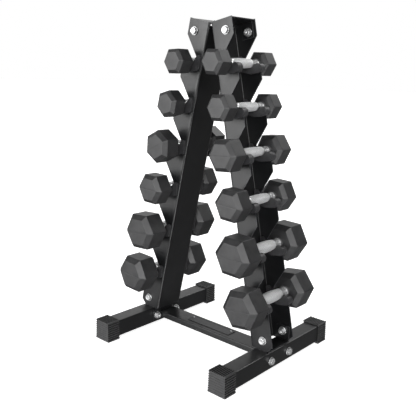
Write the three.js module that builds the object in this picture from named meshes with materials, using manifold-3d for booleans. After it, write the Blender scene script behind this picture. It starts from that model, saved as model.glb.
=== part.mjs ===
// A-frame dumbbell rack with twelve rubber hex dumbbells.
//
// Two toothed sheet-steel channels lean together over two square-tube feet, which a flat crossbar
// joins.  Every notch of a channel holds a pair of plastic cradles, one on each flange, and a
// dumbbell lies across each pair.
//
// Frame, in millimetres: +X to the right along the crossbar, +Y to the rear along the feet, +Z up,
// origin on the floor in the middle of the rack.  The left half is the right half turned by half a
// turn about Z, apart from the weights.

import * as THREE from 'three';
import { mergeVertices } from 'three/addons/utils/BufferGeometryUtils.js';
import Module from 'manifold-3d';

const wasm = await Module();
wasm.setup();

// ---- driving dimensions ----

const GAP = 0.3;                      // clearance between touching pieces
const OVERCUT = 1;                    // how far a cutting body reaches past what it cuts
const WELD_DEPTH = 0.5;               // how far two welded bodies reach into each other
const HOLE_SIDES = 12;
const HEX_SIDES = 6;
const ARC_STEP = 30;                  // the longest straight piece of an arc, in degrees

const FOOT_SPACING = 458;             // between the centre lines of the two feet
const TUBE_LENGTH = 486;
const TUBE_SIZE = 50;
const TUBE_WALL = 2;
const TUBE_CORNER = 3.2;              // outer radius of the tube's rounded edges
const TUBE_BOTTOM = 6.5;

const CAP_TOP_WIDTH = 56;
const CAP_DRAFT = 1.7;                // each side leans out by this much towards the floor
const CAP_HEIGHT = 61.5;
const CAP_LENGTH = 44.5;
const CAP_END_WALL = 3.5;
const CAP_RIBS = 9;                   // on each side but the floor's
const CAP_GROOVE_DEPTH = 2.1;
const CAP_GROOVE_SHARE = 0.56;        // of the pitch of the ribs
const CAP_GROOVE_TAPER = 0.7;         // the groove's floor, as a share of its width
const CAP_LINE = { depth: 0.6, height: 1.3, margin: 5 };   // shallow lines across the closed end

const LEAN = THREE.MathUtils.degToRad(12.1);
const WEB_AT_FLOOR = 202.8;           // the web's plane meets the floor here
const CHANNEL_DEPTH = 103.2;          // over both flanges
const CHANNEL_REACH = 73.4;           // from the web to the tips of the teeth
const CHANNEL_TOP = 960;              // along the channel, from the floor
const STOCK_EXCESS = 20;              // the plain channel is this much larger before it is cut
const SHEET = 3;
const BEND_RADIUS = 6;
const WEB_TOP_DROP = 9;               // the web stops short of the flanges at the top

const TIERS = 6;
const FIRST_TOOTH = 914.5;            // tip of the highest tooth, along the channel
const TOOTH_PITCH = 119.4;            // between the two highest tips
const PITCH_GROWTH = 6.1;             // each further pitch is longer by this much
const TOOTH_SLANT = THREE.MathUtils.degToRad(30);   // from the vertical
const SEAT_REACH = 45;                // from the web to the middle of a seat
const SEAT_DROP = 68.7;               // from a tip to the middle of the seat below it, along the channel
const SEAT_RAMP = THREE.MathUtils.degToRad(40);     // slope of the seat's outer side
const STEEL_SEAT_RADIUS = 19;
const STEEL_SEAT_START = 225;         // the seat's inner end, in degrees from outwards
const NOTCH_FLOOR = -6;               // height of the notch's two shoulders, from the seat's middle
const LOWEST_TIP_HEIGHT = 75;
const LOWEST_TIP_CUT = 18;            // the bottom corner below that tip is cut back by this much

const CRADLE_LENGTH = 20;
const CRADLE_RADIUS = 15;             // of the trough that the handle lies in
const TROUGH_START = 205;             // the trough's inner end, in degrees from outwards
const LOBE_RADIUS = 13.5;             // rounded outer end of a cradle, under the end of its ramp
const LOBE_RUN = 12;                  // length of the straight ramp between trough and lobe
// The lobe's round runs down to the belly, the belly's to the heel, the heel's up to the crest and
// the crest's back to the trough; each starts and ends at these angles, in degrees from outwards.
const LOBE_END = -70;
const BELLY = { middle: [3, -19], radius: 13, end: -97 };
const HEEL = { middle: [-31, -17], radius: 9, end: -168 };
const CREST = { middle: [-36, 9], radius: 7, start: 192, end: 50 };
const CRADLE_WEB_CLEARANCE = 6;       // the inner half stops this far from the web

const BOLT_DIAMETER = 10;
const BOLT_HOLE = 11.4;
const HEX_ACROSS_FLATS = 17;
const BOLT_HEAD_HEIGHT = 6.4;
const HEX_CHAMFER = 1.1;
const NUT_HEIGHT = 8;
const WASHER_DIAMETER = 24;
const WASHER_THICKNESS = 2;
const WASHER_SIDES = 20;
const SHANK_SIDES = 8;
const BOLT_TAIL = 5;                  // thread past the nut

const BRACKET_SHEET = 3;
const FOOT_BOLT_HEIGHT = 86;          // bolts that hold the channel to its foot bracket
const FOOT_BRACKET_WIDTH = 44;
const FOOT_BRACKET_TOP = 102;
const TOP_BOLT_REACH = 49;            // from the web to the top bolts
const TOP_BOLT_DROP = 32;             // from the channel's top to the top bolts
const TOP_EAR = [27, 66];             // the top bracket's ears, measured from the web
const TOP_EAR_DROP = 48;
const TOP_PLATE_HALF_DEPTH = 45.5;
const TOP_PLATE_DROP = 1;             // the plate lies this far below the channels' tops
const TOP_PLATE_SETBACK = 1.5;        // and ends this far short of the tips of the teeth
const TOP_PLATE_OVERLAP = 3;          // its halves reach this far past the web, where they meet

const CROSSBAR_DEPTH = 61;
const CROSSBAR_HEIGHT = 19;
const CROSSBAR_WALL = 1.5;
const CROSSBAR_CORNER = 2.4;
const CROSSBAR_MIDDLE = 31;           // height of its middle, and of the base bolts
const END_PLATE_DEPTH = 118;
const END_PLATE_HEIGHT = 40;
const END_PLATE_THICKNESS = 3;
const BASE_BOLT_OFFSET = 43;          // from the middle plane to the bolts through a foot

const NAMEPLATE_LENGTH = 166;
const NAMEPLATE_DEPTH = 36;
const NAMEPLATE_THICKNESS = 1.2;
const NAMEPLATE_MIDDLE = [-6, 3];     // as seen from the middle of the crossbar

// Dumbbells.  A head is a hexagonal prism with the same chamfer on both of its ends.
const HEAD_INNER_FACE = 72;           // from the middle of the handle to each head
const HEAD_CHAMFER = 0.13;            // as a share of the width across flats
const BARREL_HALF_LENGTH = 46;        // the swollen grip, which steps down to a neck at each end
const BARREL_STEP = 2;
const BARREL_RINGS = 6;
const HANDLE_SIDES = 12;
const NECK_END = 66;                  // where the collar starts
const COLLAR_LENGTH = 7;              // the collar sinks into the head by 1 mm
// Each weight's head, then the radii of its handle; the barrel's are in its middle and at its ends.
const WEIGHTS = {
  light: { acrossFlats: 64.5, length: 55, barrel: [13.6, 11.8], neck: 9.8, collar: 12.0 },
  small: { acrossFlats: 68.5, length: 55, barrel: [13.6, 11.8], neck: 9.8, collar: 12.0 },
  medium: { acrossFlats: 83.5, length: 64, barrel: [14.3, 12.2], neck: 10.2, collar: 12.6 },
  large: { acrossFlats: 103, length: 79, barrel: [17.0, 13.8], neck: 11.6, collar: 14.2 },
};
const TIER_WEIGHTS = ['light', 'small', 'medium', 'medium', 'large', 'large'];
// How far each dumbbell happens to be turned about its own axis, in degrees, from the top down.
const TURN = {
  left: [3, 16, 27, -2, 3, -3],
  right: [-1, 1, 4, -3, -2, 7],
};
// How far towards the rear each dumbbell happens to sit in its cradles, from the top down.
const SLIDE = {
  left: [0, 0, -2, -2, -3, -4],
  right: [0, 0, 0, 0, 0, 4],
};

// ---- materials ----

const powderCoat = new THREE.MeshStandardMaterial({ color: 0x17181a, roughness: 0.42, metalness: 0.3 });
const zinc = new THREE.MeshStandardMaterial({ color: 0xb9bcbf, roughness: 0.3, metalness: 1 });
const cradlePlastic = new THREE.MeshStandardMaterial({ color: 0x1d1e20, roughness: 0.5, metalness: 0 });
const capPlastic = new THREE.MeshStandardMaterial({ color: 0x202122, roughness: 0.6, metalness: 0 });
const coatedIron = new THREE.MeshStandardMaterial({ color: 0x2a2b2c, roughness: 0.65, metalness: 0 });
const plateMetal = new THREE.MeshStandardMaterial({ color: 0x2b2d30, roughness: 0.35, metalness: 0.6 });

// ---- solids ----

const HALF_TURN = Math.PI;
const QUARTER_TURN = Math.PI / 2;

// The closed solid of a geometry, its faces turned outwards.
function solid(geometry) {
  geometry.deleteAttribute('normal');
  geometry.deleteAttribute('uv');
  const merged = mergeVertices(geometry, 1e-4);
  const points = merged.attributes.position.array;
  const triangles = [];
  for (let i = 0; i < merged.index.count; i += 3) {
    const [a, b, c] = [0, 1, 2].map((j) => merged.index.getX(i + j));
    if (a !== b && b !== c && c !== a) triangles.push(a, b, c);
  }
  const corner = (i) => new THREE.Vector3().fromArray(points, 3 * i);
  let volume = 0;
  for (let i = 0; i < triangles.length; i += 3) {
    volume += corner(triangles[i]).dot(corner(triangles[i + 1]).cross(corner(triangles[i + 2])));
  }
  if (volume < 0) triangles.reverse();
  return new wasm.Manifold(new wasm.Mesh({
    numProp: 3,
    vertProperties: new Float32Array(points),
    triVerts: new Uint32Array(triangles),
  }));
}

function joined(solids) {
  return solids.reduce((whole, next) => whole.add(next));
}

function mesh(name, shape, material) {
  const { vertProperties, triVerts } = shape.getMesh();
  const geometry = new THREE.BufferGeometry();
  geometry.setAttribute('position', new THREE.BufferAttribute(vertProperties, 3));
  geometry.setIndex(new THREE.BufferAttribute(triVerts, 1));
  geometry.computeVertexNormals();
  const piece = new THREE.Mesh(geometry, material);
  piece.name = name;
  return piece;
}

// A box between two corners.
function block([x0, y0, z0], [x1, y1, z1]) {
  const geometry = new THREE.BoxGeometry(x1 - x0, y1 - y0, z1 - z0);
  geometry.translate((x0 + x1) / 2, (y0 + y1) / 2, (z0 + z1) / 2);
  return solid(geometry);
}

// An outline of [x, z] points, extruded along Y from y0 to y1.
function slab(outline, y0, y1) {
  const shape = new THREE.Shape(outline.map(([x, z]) => new THREE.Vector2(x, z)));
  const geometry = new THREE.ExtrudeGeometry(shape, { depth: y1 - y0, bevelEnabled: false });
  geometry.rotateX(QUARTER_TURN);
  geometry.translate(0, y1, 0);
  return solid(geometry);
}

// A cylinder or regular prism along Y, its ends at y0 and y1.
function post(radius, sides, x, z, y0, y1) {
  const geometry = new THREE.CylinderGeometry(radius, radius, y1 - y0, sides);
  geometry.translate(x, (y0 + y1) / 2, z);
  return solid(geometry);
}

// Points on an arc about [cx, cz], in degrees from +X towards +Z.
function arc([cx, cz], radius, from, to) {
  const steps = Math.ceil(Math.abs(to - from) / ARC_STEP);
  const points = [];
  for (let i = 0; i <= steps; i += 1) {
    const angle = THREE.MathUtils.degToRad(from + ((to - from) * i) / steps);
    points.push([cx + radius * Math.cos(angle), cz + radius * Math.sin(angle)]);
  }
  return points;
}

// A bar along Y of a width and height about the Y axis, its long edges rounded.
function roundedBar(width, height, radius, y0, y1) {
  const [x, z] = [width / 2 - radius, height / 2 - radius];
  return slab([
    ...arc([x, z], radius, 0, 90), ...arc([-x, z], radius, 90, 180),
    ...arc([-x, -z], radius, 180, 270), ...arc([x, -z], radius, 270, 360),
  ], y0, y1);
}

// An open path moved sideways to its left by a distance, its corners mitred.
function shifted(path, distance) {
  const normals = path.slice(1).map(([x, z], i) => {
    const [dx, dz] = [x - path[i][0], z - path[i][1]];
    const length = Math.hypot(dx, dz);
    return [-dz / length, dx / length];
  });
  return path.map(([x, z], i) => {
    const before = normals[Math.max(i - 1, 0)];
    const after = normals[Math.min(i, normals.length - 1)];
    const share = distance / (1 + before[0] * after[0] + before[1] * after[1]);
    return [x + share * (before[0] + after[0]), z + share * (before[1] + after[1])];
  });
}

// ---- places along a channel ----

const FLANGE_OUTSIDE = CHANNEL_DEPTH / 2;
const FLANGE_INSIDE = FLANGE_OUTSIDE - SHEET;
const TUBE_TOP = TUBE_BOTTOM + TUBE_SIZE;
const FOOT_X = FOOT_SPACING / 2;

// From the channel's own frame, reach from the web and length along it, to [x, z] in the rack.
function inRack(reach, along) {
  return [
    WEB_AT_FLOOR + reach * Math.cos(LEAN) - along * Math.sin(LEAN),
    reach * Math.sin(LEAN) + along * Math.cos(LEAN),
  ];
}

// The inverse of inRack.
function inChannel(x, z) {
  const dx = x - WEB_AT_FLOOR;
  return [dx * Math.cos(LEAN) + z * Math.sin(LEAN), -dx * Math.sin(LEAN) + z * Math.cos(LEAN)];
}

function toothTip(tier) {
  return FIRST_TOOTH - tier * TOOTH_PITCH - (PITCH_GROWTH * tier * (tier - 1)) / 2;
}

// The middle of a tier's seat, as [x, z] on the right side of the rack.
function seat(tier) {
  return inRack(SEAT_REACH, toothTip(tier) - SEAT_DROP);
}

// The x of the line through the teeth's tips, at a height, both measured from a seat's middle.
function tipLine(z) {
  return (CHANNEL_REACH - SEAT_REACH) / Math.cos(LEAN) - z * Math.tan(LEAN);
}

// The steel's edge through one notch, measured from the seat's middle and in the rack's own
// upright frame: down the slanted edge, round the seat, up the ramp and over the lip.
function notchEdge() {
  const tip = [
    (CHANNEL_REACH - SEAT_REACH) * Math.cos(LEAN) - SEAT_DROP * Math.sin(LEAN),
    (CHANNEL_REACH - SEAT_REACH) * Math.sin(LEAN) + SEAT_DROP * Math.cos(LEAN),
  ];
  const shoulder = [tip[0] - (tip[1] - NOTCH_FLOOR) * Math.tan(TOOTH_SLANT), NOTCH_FLOOR];
  const ramp = THREE.MathUtils.radToDeg(SEAT_RAMP);
  const round = arc([0, 0], STEEL_SEAT_RADIUS, STEEL_SEAT_START, 270 + ramp);
  const [endX, endZ] = round.at(-1);
  const lip = [endX + (NOTCH_FLOOR - endZ) / Math.tan(SEAT_RAMP), NOTCH_FLOOR];
  return [tip, shoulder, ...round, lip, [tipLine(NOTCH_FLOOR), NOTCH_FLOOR]];
}

// ---- frame ----

function upright() {
  // U-section, open outwards, with rounded bends.
  const half = FLANGE_OUTSIDE;
  const inner = BEND_RADIUS - SHEET;
  const outer = arc([BEND_RADIUS, half - BEND_RADIUS], BEND_RADIUS, 90, 180);
  const inside = arc([BEND_RADIUS, half - BEND_RADIUS], inner, 180, 90);
  const mirror = (points) => points.map(([x, y]) => [x, -y]).reverse();
  const open = CHANNEL_REACH + STOCK_EXCESS;
  const section = [
    [open, half], ...outer, ...mirror(outer), [open, -half],
    [open, -half + SHEET], ...mirror(inside), ...inside, [open, half - SHEET],
  ];
  const profile = new THREE.Shape(section.map(([x, y]) => new THREE.Vector2(x, y)));
  const bar = new THREE.ExtrudeGeometry(profile, { depth: CHANNEL_TOP + STOCK_EXCESS, bevelEnabled: false });

  // Side view: a tooth above every notch, square at the top, level at the bottom.
  const edge = notchEdge();
  const teeth = [];
  for (let tier = 0; tier < TIERS; tier += 1) {
    const [x, z] = seat(tier);
    teeth.push(...edge.map(([dx, dz]) => inChannel(x + dx, z + dz)));
  }
  const bottom = TUBE_TOP + GAP;
  const bottomWeb = WEB_AT_FLOOR - bottom * Math.tan(LEAN) - OVERCUT;
  const lowestTip = WEB_AT_FLOOR + CHANNEL_REACH / Math.cos(LEAN) - LOWEST_TIP_HEIGHT * Math.tan(LEAN);
  const side = [
    [-OVERCUT, CHANNEL_TOP], [CHANNEL_REACH, CHANNEL_TOP], ...teeth,
    inChannel(lowestTip, LOWEST_TIP_HEIGHT), inChannel(lowestTip - LOWEST_TIP_CUT, bottom),
    inChannel(bottomWeb, bottom),
  ];

  const holeAt = ([reach, along]) => post(
    BOLT_HOLE / 2, HOLE_SIDES, reach, along, -half - OVERCUT, half + OVERCUT,
  );
  const webTop = block(
    [-OVERCUT, -FLANGE_INSIDE + inner, CHANNEL_TOP - WEB_TOP_DROP],
    [BEND_RADIUS, FLANGE_INSIDE - inner, CHANNEL_TOP + OVERCUT],
  );
  return solid(bar)
    .intersect(slab(side, -half - OVERCUT, half + OVERCUT))
    .subtract(webTop)
    .subtract(holeAt([TOP_BOLT_REACH, CHANNEL_TOP - TOP_BOLT_DROP]))
    .subtract(holeAt(inChannel(FOOT_X, FOOT_BOLT_HEIGHT)));
}

// The square tube of a foot, with the U-bracket that is welded on it.
function foot() {
  const length = TUBE_LENGTH / 2;
  const bore = TUBE_SIZE - 2 * TUBE_WALL;
  const tube = roundedBar(TUBE_SIZE, TUBE_SIZE, TUBE_CORNER, -length, length)
    .subtract(roundedBar(bore, bore, TUBE_CORNER - TUBE_WALL, -length - OVERCUT, length + OVERCUT))
    .translate([0, 0, TUBE_BOTTOM + TUBE_SIZE / 2]);

  const earOutside = FLANGE_INSIDE - GAP;
  const earInside = earOutside - BRACKET_SHEET;
  const width = FOOT_BRACKET_WIDTH / 2;
  const bracket = block([-width, -earOutside, TUBE_TOP - WELD_DEPTH], [width, earOutside, FOOT_BRACKET_TOP])
    .subtract(block(
      [-width - OVERCUT, -earInside, TUBE_TOP + BRACKET_SHEET],
      [width + OVERCUT, earInside, FOOT_BRACKET_TOP + OVERCUT],
    ));

  const boltHoles = [-1, 1].map((end) => solid(
    new THREE.CylinderGeometry(BOLT_HOLE / 2, BOLT_HOLE / 2, TUBE_SIZE + 2 * OVERCUT, HOLE_SIDES)
      .rotateZ(QUARTER_TURN)
      .translate(0, end * BASE_BOLT_OFFSET, CROSSBAR_MIDDLE),
  ));
  return joined([tube, bracket])
    .subtract(post(
      BOLT_HOLE / 2, HOLE_SIDES, 0, FOOT_BOLT_HEIGHT, -earOutside - OVERCUT, earOutside + OVERCUT,
    ))
    .subtract(joined(boltHoles));
}

// A ribbed sleeve over the end of a foot's tube, closed at its outer end (-Y).
function footCap() {
  const top = CAP_TOP_WIDTH / 2;
  const floor = top + CAP_DRAFT;
  const corners = [[-floor, 0], [floor, 0], [top, CAP_HEIGHT], [-top, CAP_HEIGHT]];
  const outline = [];
  corners.forEach(([x0, z0], i) => {
    const [x1, z1] = corners[(i + 1) % corners.length];
    const length = Math.hypot(x1 - x0, z1 - z0);
    const inward = [-(z1 - z0) / length, (x1 - x0) / length];
    const isFloor = i === 0;
    outline.push([x0, z0]);
    for (let rib = 1; rib < CAP_RIBS && !isFloor; rib += 1) {
      const wide = CAP_GROOVE_SHARE / 2;
      const deep = wide * CAP_GROOVE_TAPER;
      for (const [step, depth] of [
        [-wide, 0], [-deep, CAP_GROOVE_DEPTH], [deep, CAP_GROOVE_DEPTH], [wide, 0],
      ]) {
        const share = (rib + step) / CAP_RIBS;
        outline.push([
          x0 + share * (x1 - x0) + depth * inward[0],
          z0 + share * (z1 - z0) + depth * inward[1],
        ]);
      }
    }
  });
  const lines = [];
  for (let rib = 1; rib < CAP_RIBS; rib += 1) {
    const z = (rib / CAP_RIBS) * CAP_HEIGHT;
    lines.push(block(
      [-top + CAP_LINE.margin, -OVERCUT, z - CAP_LINE.height / 2],
      [top - CAP_LINE.margin, CAP_LINE.depth, z + CAP_LINE.height / 2],
    ));
  }
  const pocket = TUBE_SIZE / 2 + GAP;
  return slab(outline, 0, CAP_LENGTH)
    .subtract(joined(lines))
    .subtract(block(
      [-pocket, CAP_END_WALL - GAP, TUBE_BOTTOM - GAP],
      [pocket, CAP_LENGTH + OVERCUT, TUBE_TOP + GAP],
    ));
}

// The flat tube between the feet, with a bolted plate welded on each of its ends.
function crossbar() {
  const plateOutside = FOOT_X - TUBE_SIZE / 2 - GAP;
  const plateInside = plateOutside - END_PLATE_THICKNESS;
  const weld = plateInside + END_PLATE_THICKNESS / 2;
  const alongX = [0, 0, 90];
  const bar = roundedBar(CROSSBAR_DEPTH, CROSSBAR_HEIGHT, CROSSBAR_CORNER, -weld, weld).rotate(alongX);
  const bore = roundedBar(
    CROSSBAR_DEPTH - 2 * CROSSBAR_WALL, CROSSBAR_HEIGHT - 2 * CROSSBAR_WALL,
    CROSSBAR_CORNER - CROSSBAR_WALL, -plateOutside - OVERCUT, plateOutside + OVERCUT,
  ).rotate(alongX);
  const plates = [-1, 1].map((side) => {
    const [x0, x1] = side < 0 ? [-plateOutside, -plateInside] : [plateInside, plateOutside];
    return block(
      [x0, -END_PLATE_DEPTH / 2, -END_PLATE_HEIGHT / 2],
      [x1, END_PLATE_DEPTH / 2, END_PLATE_HEIGHT / 2],
    );
  });
  const holes = [-1, 1].map((end) => solid(
    new THREE.CylinderGeometry(BOLT_HOLE / 2, BOLT_HOLE / 2, FOOT_SPACING, HOLE_SIDES)
      .rotateZ(QUARTER_TURN)
      .translate(0, end * BASE_BOLT_OFFSET, 0),
  ));
  return joined([bar, ...plates]).subtract(bore).subtract(joined(holes));
}

// A V-shaped plate over the tops of both channels, with an ear down the inside of every flange.
function topBracket() {
  const halves = [0, HALF_TURN].map((turn) => {
    const top = CHANNEL_TOP - TOP_PLATE_DROP;
    const plate = block(
      [-TOP_PLATE_OVERLAP, -TOP_PLATE_HALF_DEPTH, top - BRACKET_SHEET],
      [CHANNEL_REACH - TOP_PLATE_SETBACK, TOP_PLATE_HALF_DEPTH, top],
    );
    const earOutside = FLANGE_INSIDE - GAP;
    const ears = [-1, 1].map((end) => {
      const [y0, y1] = [end * earOutside, end * (earOutside - BRACKET_SHEET)].sort((a, b) => a - b);
      const ear = block([TOP_EAR[0], y0, top - TOP_EAR_DROP], [TOP_EAR[1], y1, top]);
      return ear.subtract(post(
        BOLT_HOLE / 2, HOLE_SIDES, TOP_BOLT_REACH, CHANNEL_TOP - TOP_BOLT_DROP, y0 - OVERCUT, y1 + OVERCUT,
      ));
    });
    return joined([plate, ...ears])
      .rotate([0, -THREE.MathUtils.radToDeg(LEAN), 0])
      .translate([WEB_AT_FLOOR, 0, 0])
      .intersect(block([0, -CHANNEL_DEPTH, 0], [FOOT_SPACING, CHANNEL_DEPTH, 2 * CHANNEL_TOP]))
      .rotate([0, 0, THREE.MathUtils.radToDeg(turn)]);
  });
  return joined(halves);
}

// ---- small pieces ----

// The cradle that straddles the steel in one notch, about the seat's middle and the flange's
// middle plane.  Its outer half lies on the side of -Y and its inner half on the side of +Y.
function cradle() {
  const ramp = THREE.MathUtils.radToDeg(SEAT_RAMP);
  const trough = arc([0, 0], CRADLE_RADIUS, TROUGH_START, 270 + ramp);
  const [rampX, rampZ] = trough.at(-1);
  const lobe = [
    rampX + LOBE_RUN * Math.cos(SEAT_RAMP) + LOBE_RADIUS * Math.sin(SEAT_RAMP),
    rampZ + LOBE_RUN * Math.sin(SEAT_RAMP) - LOBE_RADIUS * Math.cos(SEAT_RAMP),
  ];
  const outline = [
    ...trough,
    ...arc(lobe, LOBE_RADIUS, 90 + ramp, LOBE_END),
    ...arc(BELLY.middle, BELLY.radius, LOBE_END, BELLY.end),
    ...arc(HEEL.middle, HEEL.radius, BELLY.end, HEEL.end),
    ...arc(CREST.middle, CREST.radius, CREST.start, CREST.end),
  ];

  // The slot for the steel, and the cut that keeps the inner half off the web.
  const reach = CHANNEL_REACH;          // more than the cradle's own size, on every side
  const slot = shifted([...notchEdge(), [tipLine(-reach), -reach]], GAP);
  const [, slotTop] = slot[0];
  const groove = slab(
    [...slot, [-reach, -reach], [-reach, slotTop]],
    -SHEET / 2 - GAP,
    SHEET / 2 + GAP,
  );
  const webEdge = (z) => (CRADLE_WEB_CLEARANCE - SEAT_REACH) / Math.cos(LEAN) - z * Math.tan(LEAN);
  const besideWeb = slab(
    [[-reach, -reach], [webEdge(-reach), -reach], [webEdge(reach), reach], [-reach, reach]],
    -SHEET / 2 - GAP,
    CRADLE_LENGTH,
  );
  return slab(outline, -CRADLE_LENGTH / 2, CRADLE_LENGTH / 2).subtract(groove).subtract(besideWeb);
}

// A hex bolt along +Y with two washers and its nut: the washer under the head starts at y = 0.
function bolt(grip) {
  const hexRadius = HEX_ACROSS_FLATS / Math.sqrt(3);
  const headTop = -WASHER_THICKNESS - BOLT_HEAD_HEIGHT;
  const headFoot = -WASHER_THICKNESS + WELD_DEPTH;
  const headProfile = [
    [0, headTop], [hexRadius - HEX_CHAMFER, headTop], [hexRadius, headTop + HEX_CHAMFER],
    [hexRadius, headFoot], [0, headFoot],
  ];
  const head = solid(new THREE.LatheGeometry(
    headProfile.map(([radius, y]) => new THREE.Vector2(radius, y)),
    HEX_SIDES,
  ));
  const washer = (y) => post(WASHER_DIAMETER / 2, WASHER_SIDES, 0, 0, y, y + WASHER_THICKNESS);
  const nutStart = grip + WASHER_THICKNESS;
  const tip = nutStart + NUT_HEIGHT + BOLT_TAIL;
  return joined([
    head,
    washer(-WASHER_THICKNESS),
    post(BOLT_DIAMETER / 2, SHANK_SIDES, 0, 0, -WASHER_THICKNESS, tip),
    washer(grip),
    post(hexRadius, HEX_SIDES, 0, 0, nutStart - WELD_DEPTH, nutStart + NUT_HEIGHT),
  ]);
}

// ---- weights ----

function barrelRadius(weight, y) {
  const [middle, end] = weight.barrel;
  return end + (middle - end) * Math.cos((QUARTER_TURN * y) / BARREL_HALF_LENGTH);
}

function dumbbell(weight, turnDegrees) {
  const chamfer = HEAD_CHAMFER * weight.acrossFlats;
  const rim = weight.acrossFlats / Math.sqrt(3);
  const face = (weight.acrossFlats - 2 * chamfer) / Math.sqrt(3);
  const innerRim = HEAD_INNER_FACE + chamfer;
  const outerFace = HEAD_INNER_FACE + weight.length;
  const outerRim = outerFace - chamfer;
  const headProfile = [
    [0, HEAD_INNER_FACE], [face, HEAD_INNER_FACE], [rim, innerRim],
    [rim, outerRim], [face, outerFace], [0, outerFace],
  ];
  const start = QUARTER_TURN - THREE.MathUtils.degToRad(turnDegrees);
  const heads = [-1, 1].map((end) => solid(new THREE.LatheGeometry(
    headProfile.map(([radius, y]) => new THREE.Vector2(radius, end * y)),
    HEX_SIDES,
    start,
  )));

  const barrel = [];
  for (let i = 0; i <= BARREL_RINGS; i += 1) {
    const y = BARREL_HALF_LENGTH * ((2 * i) / BARREL_RINGS - 1);
    barrel.push([barrelRadius(weight, y), y]);
  }
  const { neck, collar } = weight;
  const collarEnd = NECK_END + COLLAR_LENGTH;
  const end = [
    [neck, BARREL_HALF_LENGTH + BARREL_STEP], [neck, NECK_END],
    [collar, NECK_END], [collar, collarEnd], [0, collarEnd],
  ];
  const handleProfile = [...end.map(([radius, y]) => [radius, -y]).reverse(), ...barrel, ...end];
  const handle = solid(new THREE.LatheGeometry(
    handleProfile.map(([radius, y]) => new THREE.Vector2(radius, y)),
    HANDLE_SIDES,
  ));
  return joined([...heads, handle]);
}

// How far a handle's axis lies below the seat's middle when it rests in its two cradles, which it
// touches with the thickest part of the barrel that can lie over them.
function restDrop(weight, slide) {
  const contact = FLANGE_OUTSIDE - SHEET / 2 - CRADLE_LENGTH / 2 - Math.abs(slide);
  return CRADLE_RADIUS - barrelRadius(weight, contact) - GAP;
}

// ---- assembly ----

const rack = new THREE.Group();

for (const side of ['right', 'left']) {
  const half = new THREE.Group();
  half.rotation.z = side === 'right' ? 0 : HALF_TURN;
  rack.add(half);
  // In the left half, turned about, the local -Y end is the rack's rear.
  const endName = (end) => ((end < 0) === (side === 'right') ? 'front' : 'rear');

  const channel = mesh(`upright_${side}`, upright(), powderCoat);
  channel.position.set(WEB_AT_FLOOR, 0, 0);
  channel.rotation.y = -LEAN;
  half.add(channel);

  const tube = mesh(`foot_${side}`, foot(), powderCoat);
  tube.position.x = FOOT_X;
  half.add(tube);

  for (const end of [-1, 1]) {
    const cap = mesh(`foot_cap_${side}_${endName(end)}`, footCap(), capPlastic);
    const capStart = TUBE_LENGTH / 2 + CAP_END_WALL;
    cap.position.set(FOOT_X, end * capStart, 0);
    cap.rotation.z = end < 0 ? 0 : HALF_TURN;
    half.add(cap);

    const flangeGrip = SHEET + GAP + BRACKET_SHEET + 2 * GAP;
    const turn = end < 0 ? 0 : HALF_TURN;
    const [topX, topZ] = inRack(TOP_BOLT_REACH, CHANNEL_TOP - TOP_BOLT_DROP);
    const topBolt = mesh(`top_bolt_${side}_${endName(end)}`, bolt(flangeGrip), zinc);
    topBolt.position.set(topX, end * (FLANGE_OUTSIDE + GAP), topZ);
    topBolt.rotation.z = turn;
    const footBolt = mesh(`foot_bolt_${side}_${endName(end)}`, bolt(flangeGrip), zinc);
    footBolt.position.set(FOOT_X, end * (FLANGE_OUTSIDE + GAP), FOOT_BOLT_HEIGHT);
    footBolt.rotation.z = turn;
    half.add(topBolt, footBolt);

    const baseGrip = TUBE_SIZE + END_PLATE_THICKNESS + 3 * GAP;
    const baseBolt = mesh(`base_bolt_${side}_${endName(end)}`, bolt(baseGrip), zinc);
    baseBolt.position.set(FOOT_X + TUBE_SIZE / 2 + GAP, end * BASE_BOLT_OFFSET, CROSSBAR_MIDDLE);
    baseBolt.rotation.z = QUARTER_TURN;
    half.add(baseBolt);
  }

  for (let tier = 0; tier < TIERS; tier += 1) {
    const [x, z] = seat(tier);
    for (const end of [-1, 1]) {
      const holder = new THREE.Group();
      const shape = end < 0 ? cradle() : mirroredCradle();
      const piece = mesh(`cradle_${side}_${tier + 1}_${endName(end)}`, shape, cradlePlastic);
      holder.position.set(x, end * (FLANGE_OUTSIDE - SHEET / 2), z);
      holder.add(piece);
      half.add(holder);
    }
  }
}

// The rear cradle of the right half: the front one mirrored in the rack's middle plane.
function mirroredCradle() {
  return cradle().mirror([0, 1, 0]);
}

for (const side of ['left', 'right']) {
  const direction = side === 'left' ? -1 : 1;
  for (let tier = 0; tier < TIERS; tier += 1) {
    const weight = WEIGHTS[TIER_WEIGHTS[tier]];
    const [x, z] = seat(tier);
    const piece = mesh(`dumbbell_${side}_${tier + 1}`, dumbbell(weight, TURN[side][tier]), coatedIron);
    const slide = SLIDE[side][tier];
    piece.position.set(direction * x, slide, z - restDrop(weight, slide));
    rack.add(piece);
  }
}

const bar = mesh('crossbar', crossbar(), powderCoat);
bar.position.z = CROSSBAR_MIDDLE;
rack.add(bar);

rack.add(mesh('top_bracket', topBracket(), powderCoat));

const plateCorner = [NAMEPLATE_LENGTH / 2, NAMEPLATE_DEPTH / 2];
const nameplate = mesh(
  'nameplate',
  block([-plateCorner[0], -plateCorner[1], 0], [plateCorner[0], plateCorner[1], NAMEPLATE_THICKNESS]),
  plateMetal,
);
nameplate.position.set(...NAMEPLATE_MIDDLE, CROSSBAR_MIDDLE + CROSSBAR_HEIGHT / 2 + GAP);
rack.add(nameplate);

export default rack;
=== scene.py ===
import math

import bmesh
import bpy
from mathutils import Matrix, Vector


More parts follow.
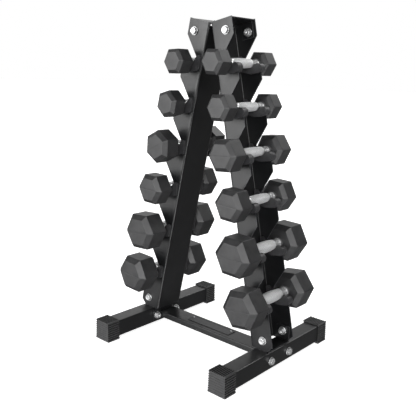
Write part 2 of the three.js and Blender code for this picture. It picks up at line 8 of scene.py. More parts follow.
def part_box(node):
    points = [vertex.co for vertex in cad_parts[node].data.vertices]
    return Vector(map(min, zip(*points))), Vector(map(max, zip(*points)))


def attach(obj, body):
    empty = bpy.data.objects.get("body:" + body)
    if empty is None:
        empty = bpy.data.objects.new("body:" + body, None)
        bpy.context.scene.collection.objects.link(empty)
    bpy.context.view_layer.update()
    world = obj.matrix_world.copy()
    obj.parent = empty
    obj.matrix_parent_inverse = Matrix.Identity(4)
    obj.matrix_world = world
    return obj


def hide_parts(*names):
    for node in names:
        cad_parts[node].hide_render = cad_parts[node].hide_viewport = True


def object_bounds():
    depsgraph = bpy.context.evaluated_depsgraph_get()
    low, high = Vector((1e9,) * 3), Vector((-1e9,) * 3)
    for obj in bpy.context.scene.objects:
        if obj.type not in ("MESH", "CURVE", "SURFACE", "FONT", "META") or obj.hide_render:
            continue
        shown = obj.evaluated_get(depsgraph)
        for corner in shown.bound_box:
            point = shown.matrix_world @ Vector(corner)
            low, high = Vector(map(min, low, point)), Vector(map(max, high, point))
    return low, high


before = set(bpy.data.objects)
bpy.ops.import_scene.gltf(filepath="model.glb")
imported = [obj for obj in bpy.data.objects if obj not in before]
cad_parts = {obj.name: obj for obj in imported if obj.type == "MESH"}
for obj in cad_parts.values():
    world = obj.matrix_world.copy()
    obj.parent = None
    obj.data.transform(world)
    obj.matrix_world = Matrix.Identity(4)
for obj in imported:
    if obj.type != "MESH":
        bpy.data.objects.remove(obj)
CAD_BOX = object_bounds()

MM = 0.001
SIDES = ("left", "right")
ENDS = ("front", "rear")
SCENE = bpy.context.scene

# ---- driving dimensions of the detailed pieces, in metres ----

ROUND_SEGMENTS = 48                    # of every head, handle and bolt
COPLANAR = 1e-6                        # points nearer to a plane than this lie in it

# Weights of the tiers, from the top down, and how far each dumbbell is turned about its axis.
TIER_WEIGHTS = ("light", "small", "medium", "medium", "large", "large")
TURN = {
    "left": (3, 16, 27, -2, 3, -3),
    "right": (-1, 1, 4, -3, -2, 7),
}

# Heads.  Shares are of the width across flats.
ACROSS_FLATS = {"light": 64.5 * MM, "small": 68.5 * MM, "medium": 83.5 * MM, "large": 103 * MM}
HEAD_INNER_FACE = 72 * MM              # from the middle of the handle
HEAD_CHAMFER_SHARE = 0.13
HEAD_FACE_RING_SHARE = 0.275           # a ring of points in the flat outer face
BOSS_FOOT_SHARE = 0.36
BOSS_TOP_SHARE = 0.31
BOSS_HEIGHT = 1.6 * MM
HUB_HEIGHT = 3.0 * MM                  # round the handle, on top of the boss
HUB_MARGIN = 3.2 * MM                  # past the collar
HUB_GAP = 0.6 * MM                     # between the collar and the hub, at the hub's foot
HUB_DRAFT = 0.3 * MM                   # by which the gap widens
HUB_SLOPE = 0.6 * MM                   # of the hub's outer side
PARTING_HALF_WIDTH = 1.1 * MM
PARTING_DEPTH = {"light": 0.2 * MM, "small": 0.2 * MM, "medium": 0.45 * MM, "large": 0.8 * MM}

# Handles.
HANDLE_RADII = {                       # barrel's middle and ends, neck and collar
    "light": (13.6 * MM, 11.8 * MM, 9.8 * MM, 12.0 * MM),
    "small": (13.6 * MM, 11.8 * MM, 9.8 * MM, 12.0 * MM),
    "medium": (14.3 * MM, 12.2 * MM, 10.2 * MM, 12.6 * MM),
    "large": (17.0 * MM, 13.8 * MM, 11.6 * MM, 14.2 * MM),
}
BARREL_HALF_LENGTH = 46 * MM
BARREL_STEP = 2 * MM                   # from the barrel's end to where the neck starts
BARREL_RINGS = 24
NECK_END = 66 * MM
NECK_RINGS = (51.5 * MM, 56.5 * MM)    # narrow raised rings round the neck
NECK_RING_HALF_WIDTH = 1.1 * MM
NECK_RING_CREST = 0.6                  # share of a ring's width that is its crest
NECK_RING_HEIGHT = 0.7                 # share of the barrel end's height above the neck
COLLAR_END = 72.6 * MM
# Rounded edges, as (drop in radius, distance along the axis) from their square corner.
COLLAR_OUTER_EDGE = ((0.8 * MM, 0.0), (0.1 * MM, 0.6 * MM), (0.0, 1.5 * MM))
COLLAR_INNER_EDGE = ((0.0, 1.0 * MM), (0.7 * MM, 0.2 * MM))
BARREL_EDGE = ((0.9 * MM, 1.2 * MM), (0.3 * MM, 0.4 * MM))
KNURL_HALF_LENGTH = 43 * MM
KNURL_FADE = 2 * MM
KNURL_TURNS = 30
KNURL_PITCH = 6.0 * MM
KNURL_GROOVE = 0.22                    # share of a diamond's height that is its groove

# Bolts.
HEX_FLAT_RADIUS = 8.5 * MM
HEX_CORNER_RADIUS = HEX_FLAT_RADIUS / math.cos(math.pi / 6)
HEX_FACE_RADIUS = 8.0 * MM
HEX_TURNING = (                        # depth below the face, and the largest radius there
    (1.3 * MM, HEX_CORNER_RADIUS),
    (0.8 * MM, HEX_CORNER_RADIUS - 0.35 * MM),
    (0.3 * MM, HEX_FLAT_RADIUS + 0.1 * MM),
)
HEX_HEIGHT = 6.4 * MM
HEX_DISH_DEPTH = 0.5 * MM              # of the hollow in the bolt head's face
HEX_DISH_FLOOR = 4.2 * MM
HEX_DISH_RIM = 5.0 * MM
NUT_HEIGHT = 8 * MM
WASHER_RADIUS = 12 * MM
WASHER_THICKNESS = 2 * MM
WASHER_EDGE = 0.35 * MM
SHANK_RADIUS = 5 * MM
SHANK_TAIL = 5 * MM                    # past the nut
THREAD_PITCH = 1.5 * MM
THREAD_DEPTH = 0.55 * MM
THREAD_TURNS = 3                       # past the nut
TIP_LENGTH = 0.8 * MM
TIP_RADIUS = 3.9 * MM

# Nameplate and its rivets.
PLATE_CORNER = 2.5 * MM
PLATE_CORNER_STEPS = 4
PLATE_RIM = 2.1 * MM                   # width of the rim's flat top
PLATE_RIM_SLOPE = 0.3 * MM
PLATE_RECESS = 0.6 * MM
RIVETS = ((-84.5 * MM, 10.5 * MM), (66.0 * MM, 12.3 * MM))
RIVET_RADIUS = 2.6 * MM
RIVET_SKIRT = 0.3 * MM
RIVET_CROWN = 1.1 * MM
RIVET_STEPS = 6
RIVET_SEGMENTS = 24

# Widths of the rounded edges, and the angles in degrees from which edges are rounded or kept
# sharp in the shading.
WELD_DISTANCE = 2e-6
HEAD_EDGE = 1.3 * MM
HANDLE_EDGE = 0.15 * MM
BOLT_EDGE = 0.12 * MM
PLATE_EDGE = 0.15 * MM
SHEET_EDGE = 0.45 * MM
PLASTIC_EDGE = 0.9 * MM
RIB_EDGE = 0.25 * MM
EDGE_LIMIT = 35
HEAD_EDGE_LIMIT = 37
METAL_EDGE_LIMIT = 50
SHADING_LIMIT = 42
HEAD_SHADING_LIMIT = 30                # keeps the parting groove sharp

# ---- materials ----

NOISE_LOW = 0.3                        # nearly all of a noise texture lies between these
NOISE_HIGH = 0.7
HOLLOW = 0.5                           # ambient occlusion in the depths of a hollow
OPEN = 0.95                            # and on an open face
EDGE = 0.5                             # inner ambient occlusion at an outer edge
FACE = 0.85                            # and on a face away from its edges


class Material:
    """A node material: the shader, and helpers that put texture nodes in front of it."""

    def __init__(self, name, colour, roughness, metallic=0.0, specular=0.5):
        self.material = bpy.data.materials.new(name)
        self.material.use_nodes = True
        self.tree = self.material.node_tree
        self.shader = self.tree.nodes["Principled BSDF"]
        self.shader.inputs["Base Color"].default_value = (*colour, 1)
        self.shader.inputs["Roughness"].default_value = roughness
        self.shader.inputs["Metallic"].default_value = metallic
        self.shader.inputs["Specular IOR Level"].default_value = specular
        self.place = self.node("ShaderNodeTexCoord").outputs["Object"]

    def node(self, kind, **settings):
        made = self.tree.nodes.new(kind)
        for key, value in settings.items():
            setattr(made, key, value)
        return made

    def link(self, source, target):
        self.tree.links.new(source, target)

    def maths(self, operation, *values):
        made = self.node("ShaderNodeMath", operation=operation)
        for socket, value in zip(made.inputs, values):
            if isinstance(value, (int, float)):
                socket.default_value = value
            else:
                self.link(value, socket)
        return made.outputs[0]

    def map_range(self, value, from_min, from_max, to_min=0.0, to_max=1.0):
        made = self.node("ShaderNodeMapRange")
        made.inputs["From Min"].default_value = from_min
        made.inputs["From Max"].default_value = from_max
        made.inputs["To Min"].default_value = to_min
        made.inputs["To Max"].default_value = to_max
        self.link(value, made.inputs["Value"])
        return made.outputs["Result"]

    def noise(self, scale, detail):
        made = self.node("ShaderNodeTexNoise")
        made.inputs["Scale"].default_value = scale
        made.inputs["Detail"].default_value = detail
        self.link(self.place, made.inputs["Vector"])
        return made.outputs["Fac"]

    def mottle(self, scale, detail, dark, light):
        """A colour that wanders between two."""
        made = self.node("ShaderNodeValToRGB")
        low, high = made.color_ramp.elements
        low.position = NOISE_LOW
        low.color = (*dark, 1)
        high.position = NOISE_HIGH
        high.color = (*light, 1)
        self.link(self.noise(scale, detail), made.inputs["Fac"])
        return made.outputs["Color"]

    def wander(self, scale, detail, low, high):
        """A number that wanders between two."""
        return self.map_range(self.noise(scale, detail), NOISE_LOW, NOISE_HIGH, low, high)

    def openness(self, width):
        """1 on open faces, down to 0 in the depths of hollows narrower than a width."""
        made = self.node("ShaderNodeAmbientOcclusion")
        made.inputs["Distance"].default_value = width
        return self.map_range(made.outputs["AO"], HOLLOW, OPEN)

    def edge_highlight_and_wear(self, width):
        """1 along outer edges, down to 0 on faces further than a width from them; the mask of the
        painted edge highlights, which also stand for rubbed wear.
        """
        made = self.node("ShaderNodeAmbientOcclusion", inside=True, only_local=True)
        made.inputs["Distance"].default_value = width
        return self.map_range(made.outputs["AO"], FACE, EDGE)

    def scaled(self, colour, factor):
        made = self.node("ShaderNodeVectorMath", operation="SCALE")
        self.link(colour, made.inputs[0])
        self.link(factor, made.inputs["Scale"])
        return made.outputs["Vector"]

    def bump(self, height, distance, strength):
        made = self.node("ShaderNodeBump")
        made.inputs["Distance"].default_value = distance
        made.inputs["Strength"].default_value = strength
        self.link(height, made.inputs["Height"])
        return made.outputs["Normal"]

    def finish(self, colour, roughness, normal):
        """Joins the textures to the shader, and gives the material."""
        self.link(colour, self.shader.inputs["Base Color"])
        self.link(roughness, self.shader.inputs["Roughness"])
        self.link(normal, self.shader.inputs["Normal"])
        return self.material


def powder_coat():
    """Black powder coat, lighter along its edges with painted edge highlights that also stand for
    rubbed wear.
    """
    coat = Material("powder_coat", (0.007, 0.0073, 0.008), 0.33, specular=0.55)
    shade = coat.mottle(26, 4, dark=(0.006, 0.0062, 0.0068), light=(0.0085, 0.0088, 0.0095))
    # painted highlight: the colour is lit up fifteenfold along outer edges, also standing for
    # rubbed wear
    highlight_and_wear = coat.maths("MULTIPLY_ADD", coat.edge_highlight_and_wear(width=1.2 * MM), 14.0, 1.0)
    return coat.finish(
        colour=coat.scaled(shade, highlight_and_wear),
        roughness=coat.wander(60, 3, low=0.3, high=0.38),
        normal=coat.bump(coat.noise(900, 2), distance=0.05 * MM, strength=0.35),
    )


def rubber():
    """Black rubber, lighter along its edges with painted edge highlights that also stand for rubbed
    wear.
    """
    skin = Material("rubber", (0.024, 0.024, 0.025), 0.42, specular=0.52)
    shade = skin.mottle(45, 4, dark=(0.017, 0.017, 0.018), light=(0.032, 0.032, 0.033))
    # painted highlight: the colour is lit up along outer edges, also standing for rubbed wear
    highlight_and_wear = skin.maths("MULTIPLY_ADD", skin.edge_highlight_and_wear(width=2.5 * MM), 3.5, 1.0)
    return skin.finish(
        colour=skin.scaled(shade, highlight_and_wear),
        roughness=skin.wander(90, 4, low=0.38, high=0.47),
        normal=skin.bump(skin.noise(1400, 3), distance=0.06 * MM, strength=0.5),
    )


def moulded_plastic(name, colour, roughness, crevice=0.0):
    """Plastic whose hollows narrower than the crevice width are duller, and darker with painted
    shade.
    """
    plastic = Material(name, colour, roughness, specular=0.45)
    darker = [0.8 * part for part in colour]
    lighter = [1.2 * part for part in colour]
    shade = plastic.mottle(70, 3, darker, lighter)
    gloss = plastic.wander(120, 3, low=roughness - 0.05, high=roughness + 0.06)
    if crevice:
        # painted shade: the colour is darkened by ambient occlusion in the narrow hollows
        openness = plastic.openness(crevice)
        shade = plastic.scaled(shade, openness)
        dull = plastic.maths("MULTIPLY", plastic.maths("SUBTRACT", 1.0, openness), 0.45)
        gloss = plastic.maths("ADD", gloss, dull)
    return plastic.finish(
        colour=shade,
        roughness=gloss,
        normal=plastic.bump(plastic.noise(1600, 2), distance=0.04 * MM, strength=0.5),
    )


def zinc():
    """Zinc plating, darker with painted shade in the corners between the bolt's parts."""
    plating = Material("zinc_plating", (0.7, 0.705, 0.71), 0.3, metallic=0.7)
    shade = plating.mottle(220, 3, dark=(0.56, 0.565, 0.57), light=(0.76, 0.765, 0.77))
    # painted shade: the colour is darkened by ambient occlusion in the corners between the parts
    painted_shade = plating.maths("MULTIPLY_ADD", plating.openness(width=6 * MM), 0.8, 0.2)
    return plating.finish(
        colour=plating.scaled(shade, painted_shade),
        roughness=plating.wander(300, 3, low=0.22, high=0.4),
        normal=plating.bump(plating.noise(900, 2), distance=0.03 * MM, strength=0.4),
    )


def knurled_chrome():
    """Chrome with a diamond knurl over the grip, dull and darker with painted shade in its grooves,
    with painted shade in narrow hollows such as the necks, and smooth towards both ends."""
    chrome = Material("knurled_chrome", (0.86, 0.865, 0.87), 0.2, metallic=0.6)
    maths = chrome.maths
    shade = chrome.mottle(160, 3, dark=(0.9, 0.905, 0.91), light=(0.97, 0.975, 0.98))
    parts = chrome.node("ShaderNodeSeparateXYZ")
    chrome.link(chrome.place, parts.inputs["Vector"])
    x, y, z = parts.outputs
    turns = maths("MULTIPLY", maths("ARCTAN2", z, x), KNURL_TURNS)
    along = maths("MULTIPLY", y, 2 * math.pi / KNURL_PITCH)
    first = maths("ABSOLUTE", maths("SINE", maths("ADD", turns, along)))
    second = maths("ABSOLUTE", maths("SINE", maths("SUBTRACT", turns, along)))
    diamonds = maths("MINIMUM", first, second)
    reach = maths("ABSOLUTE", y)
    grip = chrome.map_range(reach, KNURL_HALF_LENGTH, KNURL_HALF_LENGTH - KNURL_FADE)
    groove = maths("MULTIPLY", grip, maths("LESS_THAN", diamonds, KNURL_GROOVE))
    # painted shade in the knurl's grooves
    tone = maths("SUBTRACT", 1.0, maths("MULTIPLY", groove, 0.25))
    # painted shade: the colour is darkened by ambient occlusion in narrow hollows such as the necks
    painted_shade = maths("MULTIPLY_ADD", chrome.openness(width=7 * MM), 0.65, 0.35)
    return chrome.finish(
        colour=chrome.scaled(shade, maths("MULTIPLY", tone, painted_shade)),
        roughness=maths("ADD", 0.16, maths("MULTIPLY", grip, 0.26)),
        normal=chrome.bump(maths("MULTIPLY", diamonds, grip), distance=0.5 * MM, strength=0.8),
    )


POWDER_COAT = powder_coat()
RUBBER = rubber()
CRADLE_PLASTIC = moulded_plastic("cradle_plastic", (0.038, 0.038, 0.04), 0.48)
# crevice: hollows narrower than this get painted shade
CAP_PLASTIC = moulded_plastic("cap_plastic", (0.04, 0.04, 0.041), 0.5, crevice=4 * MM)
PLATE_METAL = moulded_plastic("plate_coating", (0.024, 0.0245, 0.026), 0.38, crevice=4 * MM)
ZINC = zinc()
CHROME = knurled_chrome()

# ---- helpers for pieces ----


def rounded_shading(limit):
    """A modifier group that shades smooth, but keeps edges sharper than the limit sharp."""
    group = bpy.data.node_groups.new("rounded_shading", "GeometryNodeTree")
    for direction in ("INPUT", "OUTPUT"):
        group.interface.new_socket("Geometry", in_out=direction, socket_type="NodeSocketGeometry")
    new = group.nodes.new
    start = new("NodeGroupInput")
    end = new("NodeGroupOutput")
    plain = new("GeometryNodeRemoveAttribute")
    plain.inputs["Name"].default_value = "custom_normal"
    smooth = new("GeometryNodeSetShadeSmooth")
    smooth.domain = "FACE"
    crease = new("GeometryNodeSetShadeSmooth")
    crease.domain = "EDGE"
    crease.inputs["Shade Smooth"].default_value = False
    angle = new("GeometryNodeInputMeshEdgeAngle")
    sharper = new("FunctionNodeCompare")
    sharper.inputs["B"].default_value = math.radians(limit)
    link = group.links.new
    link(start.outputs[0], plain.inputs["Geometry"])
    link(plain.outputs["Geometry"], smooth.inputs["Geometry"])
    link(smooth.outputs["Geometry"], crease.inputs["Geometry"])
    link(angle.outputs["Unsigned Angle"], sharper.inputs["A"])
    link(sharper.outputs["Result"], crease.inputs["Selection"])
    link(crease.outputs["Geometry"], end.inputs[0])
    return group


ROUNDED_SHADING = rounded_shading(SHADING_LIMIT)
HEAD_SHADING = rounded_shading(HEAD_SHADING_LIMIT)


def finish_edges(piece, width, limit=EDGE_LIMIT, segments=2, shade=ROUNDED_SHADING):
    """Welds a piece's corners, rounds its edges and shades its curved faces smooth."""
    weld = piece.modifiers.new("weld", "WELD")
    weld.merge_threshold = WELD_DISTANCE
    bevel = piece.modifiers.new("edges", "BEVEL")
    bevel.width = width
    bevel.segments = segments
    bevel.limit_method = "ANGLE"
    bevel.angle_limit = math.radians(limit)
    bevel.use_clamp_overlap = True
    shading = piece.modifiers.new("shading", "NODES")
    shading.node_group = shade
    flat = piece.modifiers.new("flat_faces", "WEIGHTED_NORMAL")
    flat.keep_sharp = True


def new_piece(name, mesh, material, place, body, nodes):
    """A piece with its own copy of a mesh.  Any turn goes into the mesh, so that the object is
    only moved and its box stays tight."""
    mesh = mesh.copy()
    mesh.name = name
    mesh.transform(place.to_3x3().to_4x4())
    mesh.materials.append(material)
    piece = bpy.data.objects.new(name, mesh)
    SCENE.collection.objects.link(piece)
    piece.location = place.to_translation()
    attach(piece, body)
    if nodes:
        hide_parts(*nodes)
    return piece


def mesh_from_rings(name, rings):
    """A closed smooth skin through rings of equal length; one-point rings close its ends."""
    shape = bmesh.new()
    loops = [[shape.verts.new(point) for point in ring] for ring in rings]
    for lower, upper in zip(loops, loops[1:]):
        count = max(len(lower), len(upper))
        for i in range(count):
            j = (i + 1) % count
            corners = [lower[i % len(lower)], lower[j % len(lower)],
                       upper[j % len(upper)], upper[i % len(upper)]]
            shape.faces.new(list(dict.fromkeys(corners)))
    bmesh.ops.recalc_face_normals(shape, faces=shape.faces)
    for face in shape.faces:
        face.smooth = True
    mesh = bpy.data.meshes.new(name)
    shape.to_mesh(mesh)
    shape.free()
    return mesh


def circle(radius, y, segments=ROUND_SEGMENTS):
    if radius == 0:
        return [(0, y, 0)]
    steps = (2 * math.pi * i / segments for i in range(segments))
    return [(radius * math.cos(a), y, radius * math.sin(a)) for a in steps]


def hexagon(flat_radius, y, limit=math.inf):
    """A ring of points on a hexagon's outline, with a corner on +X.  No point is further from
    the middle than the limit."""
    sixth = math.pi / 3
    ring = []
    for i in range(ROUND_SEGMENTS):
        angle = 2 * math.pi * i / ROUND_SEGMENTS
        reach = min(limit, flat_radius / math.cos(angle % sixth - sixth / 2))
        ring.append((reach * math.cos(angle), y, reach * math.sin(angle)))
    return ring


# ---- dumbbells ----


def head_mesh(weight, length):
    """A head, its inner face at y = 0 and its outer face at y = length, with a fine parting
    groove in its horizontal middle plane."""
    width = ACROSS_FLATS[weight]
    flat = width / 2
    chamfer = HEAD_CHAMFER_SHARE * width
    collar = HANDLE_RADII[weight][-1]
    hub = collar + HUB_MARGIN
    mesh = mesh_from_rings(f"head_{weight}", [
        circle(0, 0),
        circle(collar + HUB_GAP, 0),
        circle(collar + HUB_GAP + HUB_DRAFT, -HUB_HEIGHT),
        circle(hub - HUB_SLOPE, -HUB_HEIGHT),
        circle(hub, -BOSS_HEIGHT),
        circle(BOSS_TOP_SHARE * width, -BOSS_HEIGHT),
        circle(BOSS_FOOT_SHARE * width, 0),
        hexagon(flat - chamfer, 0),
        hexagon(flat, chamfer),
        hexagon(flat, length - chamfer),
        hexagon(flat - chamfer, length),
        circle(HEAD_FACE_RING_SHARE * width, length),
        circle(0, length),
    ])
    shape = bmesh.new()
    shape.from_mesh(mesh)
    for height in (-PARTING_HALF_WIDTH, 0, PARTING_HALF_WIDTH):
        bmesh.ops.bisect_plane(
            shape,
            geom=list(shape.verts) + list(shape.edges) + list(shape.faces),
            dist=COPLANAR,
            plane_co=(0, 0, height),
            plane_no=(0, 0, 1),
        )
    shape.normal_update()
    groove = [v for v in shape.verts if abs(v.co.z) < COPLANAR and v.co.y > chamfer / 2]
    inward = {vertex: -vertex.normal for vertex in groove}
    for vertex, direction in inward.items():
        vertex.co += PARTING_DEPTH[weight] * Vector((direction.x, direction.y, 0))
    shape.to_mesh(mesh)
    shape.free()
    return mesh


def handle_mesh(weight):
    """The swollen barrel, then at each end a ringed neck and a rounded collar."""
    middle, barrel_end, neck, collar = HANDLE_RADII[weight]
    crest = neck + NECK_RING_HEIGHT * (barrel_end - neck)
    ring = ((1, neck), (NECK_RING_CREST, crest), (-NECK_RING_CREST, crest), (-1, neck))
    end = [(0, COLLAR_END)]
    end += [(collar - drop, COLLAR_END - along) for drop, along in COLLAR_OUTER_EDGE]
    end += [(collar - drop, NECK_END + along) for drop, along in COLLAR_INNER_EDGE]
    end.append((neck, NECK_END))
    for place in reversed(NECK_RINGS):
        end += [(radius, place + share * NECK_RING_HALF_WIDTH) for share, radius in ring]
    end.append((neck, BARREL_HALF_LENGTH + BARREL_STEP))
    end += [(barrel_end - drop, BARREL_HALF_LENGTH + along) for drop, along in BARREL_EDGE]
    barrel = []
    for i in range(BARREL_RINGS + 1):
        share = 1 - 2 * i / BARREL_RINGS
        swell = (middle - barrel_end) * math.cos(math.pi / 2 * share)
        barrel.append((barrel_end + swell, BARREL_HALF_LENGTH * share))
    profile = end + barrel + [(radius, -y) for radius, y in reversed(end)]
    return mesh_from_rings(f"handle_{weight}", [circle(radius, y) for radius, y in profile])


def make_dumbbells():
    heads = {}
    handles = {weight: handle_mesh(weight) for weight in ACROSS_FLATS}
    shift = Matrix.Translation((0, HEAD_INNER_FACE, 0))
    for side in SIDES:
        for number, weight in enumerate(TIER_WEIGHTS, start=1):
            node = f"dumbbell_{side}_{number}"
            body = f"weight_{side}_{number}"
            low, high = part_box(node)
            if weight not in heads:
                heads[weight] = head_mesh(weight, (high.y - low.y) / 2 - HEAD_INNER_FACE)
            turn = Matrix.Rotation(-math.radians(TURN[side][number - 1]), 4, "Y")
            place = Matrix.Translation((low + high) / 2) @ turn
            for end in ENDS:
                flip = Matrix.Rotation(math.pi if end == "front" else 0, 4, "Z")
                head = new_piece(
                    f"head_{side}_{number}_{end}", heads[weight], RUBBER,
                    place @ flip @ shift, body, [node],
                )
                finish_edges(head, HEAD_EDGE, limit=HEAD_EDGE_LIMIT, segments=3, shade=HEAD_SHADING)
            handle = new_piece(
                f"handle_{side}_{number}", handles[weight], CHROME,
                place, body, [node],
            )
            finish_edges(handle, HANDLE_EDGE, limit=METAL_EDGE_LIMIT, segments=1)


# ---- bolts ----


def hex_rings(seat, height, step):
    """Rings of a hex head or nut from its seat, its corners turned off at the far end, which is
    towards +Y if the step is 1 and towards -Y if it is -1."""
    rings = [hexagon(HEX_FLAT_RADIUS, seat)]
    for depth, limit in HEX_TURNING:
        rings.append(hexagon(HEX_FLAT_RADIUS, seat + step * (height - depth), limit))
    rings.append(circle(HEX_FACE_RADIUS, seat + step * height))
    return rings


def washer_rings(low, high):
    return [
        circle(WASHER_RADIUS - WASHER_EDGE, low),
        circle(WASHER_RADIUS, low + WASHER_EDGE),
        circle(WASHER_RADIUS, high - WASHER_EDGE),
        circle(WASHER_RADIUS - WASHER_EDGE, high),
    ]


def bolt_mesh(name, grip):
    """A bolt along +Y with two washers and its nut; the first washer's seat is at y = 0."""
    head_seat = -WASHER_THICKNESS
    head_face = head_seat - HEX_HEIGHT
    nut_seat = grip + WASHER_THICKNESS
    nut_face = nut_seat + NUT_HEIGHT
    tip = nut_face + SHANK_TAIL
    thread = []
    for i in range(THREAD_TURNS):
        y = nut_face + i * THREAD_PITCH
        thread.append(circle(SHANK_RADIUS - THREAD_DEPTH, y))
        thread.append(circle(SHANK_RADIUS, y + THREAD_PITCH / 2))
    return mesh_from_rings(name, [
        circle(0, head_face + HEX_DISH_DEPTH),
        circle(HEX_DISH_FLOOR, head_face + HEX_DISH_DEPTH),
        circle(HEX_DISH_RIM, head_face),
        *reversed(hex_rings(head_seat, HEX_HEIGHT, -1)),
        *washer_rings(head_seat, 0),
        circle(SHANK_RADIUS, 0),
        circle(SHANK_RADIUS, grip),
        *washer_rings(grip, nut_seat),
        *hex_rings(nut_seat, NUT_HEIGHT, 1),
        *thread,
        circle(SHANK_RADIUS - THREAD_DEPTH, tip - TIP_LENGTH),
        circle(TIP_RADIUS, tip),
        circle(0, tip),
    ])


def make_bolts():
    """The top and foot bolts lie along Y and the base bolts along X, all with their heads out."""
    meshes = {}
    head = WASHER_THICKNESS + HEX_HEIGHT
    tail = WASHER_THICKNESS + NUT_HEIGHT + SHANK_TAIL
    for kind in ("top", "foot", "base"):
        for side in SIDES:
            for end in ENDS:
                node = f"{kind}_bolt_{side}_{end}"
                low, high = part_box(node)
                if kind == "base":
                    axis = 0
                    outward = 1 if side == "right" else -1
                    turn = Matrix.Rotation(outward * math.pi / 2, 4, "Z")
                else:
                    axis = 1
                    outward = 1 if end == "rear" else -1
                    turn = Matrix.Rotation(math.pi if end == "rear" else 0, 4, "Z")
                if kind not in meshes:
                    meshes[kind] = bolt_mesh(f"bolt_{kind}", high[axis] - low[axis] - head - tail)
                seat = (low + high) / 2
                seat[axis] = outward * (max(abs(low[axis]), abs(high[axis])) - head)
                piece = new_piece(
                    f"bolt_{kind}_{side}_{end}", meshes[kind], ZINC,
                    Matrix.Translation(seat) @ turn, "rack", [node],
                )
                finish_edges(piece, BOLT_EDGE, limit=METAL_EDGE_LIMIT, segments=1)


# ---- nameplate ----


def make_nameplate():
    """The blank plate, its field sunk inside a narrow rim."""
    low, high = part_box("nameplate")
    half = (high - low) / 2

    def outline(inset, z):
        ring = []
        reach = PLATE_CORNER - inset
        for quarter in range(4):
            diagonal = math.pi / 2 * (quarter + 0.5)
            x = math.copysign(half.x - PLATE_CORNER, math.cos(diagonal))
            y = math.copysign(half.y - PLATE_CORNER, math.sin(diagonal))
            for i in range(PLATE_CORNER_STEPS + 1):
                angle = math.pi / 2 * (quarter + i / PLATE_CORNER_STEPS)
                ring.append((x + reach * math.cos(angle), y + reach * math.sin(angle), z))
        return ring

    field = half.z - PLATE_RECESS
    mesh = mesh_from_rings("nameplate", [
        [(0, 0, -half.z)],
        outline(0, -half.z),
        outline(0, half.z),
        outline(PLATE_RIM, half.z),
        outline(PLATE_RIM + PLATE_RIM_SLOPE, field),
        [(0, 0, field)],
    ])
    place = Matrix.Translation((low + high) / 2)
    plate = new_piece("plate", mesh, PLATE_METAL, place, "rack", ["nameplate"])
    finish_edges(plate, PLATE_EDGE)


def make_rivets():
    """Domed rivets on the plate's field."""
    _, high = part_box("nameplate")
    rings = [circle(0, 0, RIVET_SEGMENTS), circle(RIVET_RADIUS, 0, RIVET_SEGMENTS)]
    for i in range(RIVET_STEPS):
        angle = math.pi / 2 * i / RIVET_STEPS
        rise = RIVET_SKIRT + RIVET_CROWN * math.sin(angle)
        rings.append(circle(RIVET_RADIUS * math.cos(angle), rise, RIVET_SEGMENTS))
    rings.append(circle(0, RIVET_SKIRT + RIVET_CROWN, RIVET_SEGMENTS))
    mesh = mesh_from_rings("rivet", rings)
    upright = Matrix.Rotation(math.pi / 2, 4, "X")
    for side, (x, y) in zip(SIDES, RIVETS):
        place = Matrix.Translation((x, y, high.z - PLATE_RECESS)) @ upright
        new_piece(f"rivet_{side}", mesh, ZINC, place, "rack", [])


# ---- carried-over CAD nodes ----


def dress(name, material, width, segments=2):
    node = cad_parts[name]
    node.data.materials.clear()
    node.data.materials.append(material)
    finish_edges(node, width, segments=segments)


def dress_cad_nodes():
    for side in SIDES:
        for kind in ("upright", "foot"):
            dress(f"{kind}_{side}", POWDER_COAT, SHEET_EDGE)
        for end in ENDS:
            dress(f"foot_cap_{side}_{end}", CAP_PLASTIC, RIB_EDGE, segments=1)
            for number in range(1, len(TIER_WEIGHTS) + 1):
                dress(f"cradle_{side}_{number}_{end}", CRADLE_PLASTIC, PLASTIC_EDGE)
    for name in ("crossbar", "top_bracket"):
        dress(name, POWDER_COAT, SHEET_EDGE)


# ---- camera, light and floor ----

CAMERA_PLACE = Vector((1.1132, -1.3173, 0.8088))
CAMERA_AZIMUTH = math.radians(41.0)
CAMERA_ELEVATION = math.radians(12.85)
CAMERA_ROLL = math.radians(1.773)
CAMERA_LENS = 51.74

# Soft light from all round, as smooth lobes: direction, strength and narrowness.
SKY_LEVEL = 0.02
SKY_LOBES = (
    ((-0.38, -0.91, 0.14), 11.6, 15),      # large panel in front, to the left
    ((0.6, -0.74, 0.3), 14.0, 34),         # panel beside the camera
    ((0.78, -0.36, -0.5), 18.0, 60),       # strip low on the right
    ((0.0, 0.62, 0.78), 0.8, 10),          # panel above, behind
    ((0.1, 0.72, 0.69), 12.0, 60),         # strip behind
    ((-0.76, 0.55, 0.36), 1.4, 16),        # panel behind, to the left
    ((-0.25, 0.96, -0.1), 1.6, 14),        # panel behind
    ((-0.1, 0.3, 1.0), 0.12, 2),           # ceiling
    ((0.3, -0.6, -0.74), 0.6, 4),          # floor in front
    ((0.5, 0.74, -0.45), 0.16, 3),         # floor behind
    ((1.0, -0.1, 0.0), 0.08, 2),           # pale wall on the right
)

FLOOR_HALF_SIZE = 30.0
FLOOR_GAP = 0.2 * MM                       # below the feet
FLOOR_COLOUR = (0.9, 0.9, 0.9, 1)
FLOOR_GLOW = 0.8


def make_camera():
    back = Vector((
        math.sin(CAMERA_AZIMUTH) * math.cos(CAMERA_ELEVATION),
        -math.cos(CAMERA_AZIMUTH) * math.cos(CAMERA_ELEVATION),
        math.sin(CAMERA_ELEVATION),
    ))
    right = (-back).cross(Vector((0, 0, 1))).normalized()
    above = right.cross(-back)
    across = right * math.cos(CAMERA_ROLL) + above * math.sin(CAMERA_ROLL)
    upward = above * math.cos(CAMERA_ROLL) - right * math.sin(CAMERA_ROLL)
    data = bpy.data.cameras.new("camera")
    data.lens = CAMERA_LENS
    camera = bpy.data.objects.new("camera", data)
    SCENE.collection.objects.link(camera)
    turn = Matrix((across, upward, back)).transposed().to_4x4()
    camera.matrix_world = Matrix.Translation(CAMERA_PLACE) @ turn
    SCENE.camera = camera


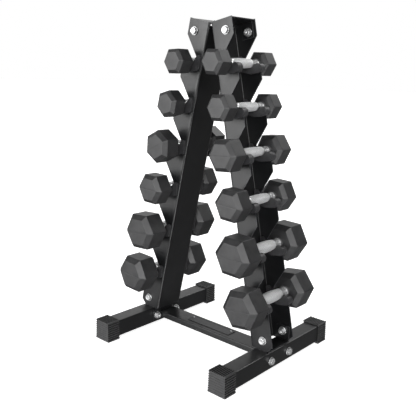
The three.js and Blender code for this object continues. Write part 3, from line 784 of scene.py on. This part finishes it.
def make_sky():
    """The lobes light the object, and the camera sees plain white."""
    world = bpy.data.worlds.new("studio")
    world.use_nodes = True
    SCENE.world = world
    tree = world.node_tree
    tree.nodes.clear()
    new = tree.nodes.new
    link = tree.links.new

    def maths(operation, source, value):
        made = new("ShaderNodeMath")
        made.operation = operation
        made.inputs[1].default_value = value
        link(source, made.inputs[0])
        return made

    place = new("ShaderNodeTexCoord").outputs["Generated"]
    total = None
    for direction, strength, power in SKY_LOBES:
        facing = new("ShaderNodeVectorMath")
        facing.operation = "DOT_PRODUCT"
        facing.inputs[1].default_value = Vector(direction).normalized()
        link(place, facing.inputs[0])
        front = maths("MAXIMUM", facing.outputs["Value"], 0)
        narrow = maths("POWER", front.outputs[0], power)
        lobe = maths("MULTIPLY_ADD", narrow.outputs[0], strength)
        if total is None:
            lobe.inputs[2].default_value = SKY_LEVEL
        else:
            link(total, lobe.inputs[2])
        total = lobe.outputs[0]
    soft = new("ShaderNodeBackground")
    link(total, soft.inputs["Strength"])
    white = new("ShaderNodeBackground")
    white.inputs["Color"].default_value = (1, 1, 1, 1)
    seen = new("ShaderNodeLightPath")
    both = new("ShaderNodeMixShader")
    link(seen.outputs["Is Camera Ray"], both.inputs[0])
    link(soft.outputs[0], both.inputs[1])
    link(white.outputs[0], both.inputs[2])
    link(both.outputs[0], new("ShaderNodeOutputWorld").inputs["Surface"])


def make_floor():
    """A plain pale floor that neither shades nor mirrors itself in the object."""
    shape = bmesh.new()
    bmesh.ops.create_grid(shape, x_segments=1, y_segments=1, size=FLOOR_HALF_SIZE)
    mesh = bpy.data.meshes.new("floor")
    shape.to_mesh(mesh)
    shape.free()
    floor = bpy.data.objects.new("floor", mesh)
    floor.location.z = CAD_BOX[0].z - FLOOR_GAP
    SCENE.collection.objects.link(floor)
    white = bpy.data.materials.new("floor_white")
    white.use_nodes = True
    shader = white.node_tree.nodes["Principled BSDF"]
    shader.inputs["Base Color"].default_value = FLOOR_COLOUR
    shader.inputs["Roughness"].default_value = 1.0
    shader.inputs["Specular IOR Level"].default_value = 0.0
    shader.inputs["Emission Color"].default_value = (1, 1, 1, 1)
    shader.inputs["Emission Strength"].default_value = FLOOR_GLOW
    mesh.materials.append(white)
    floor.visible_diffuse = False
    floor.visible_glossy = False
    floor.visible_shadow = False


make_camera()
make_sky()
make_floor()
dress_cad_nodes()
make_dumbbells()
make_bolts()
make_nameplate()
make_rivets()
SCENE.view_settings.view_transform = "Standard"
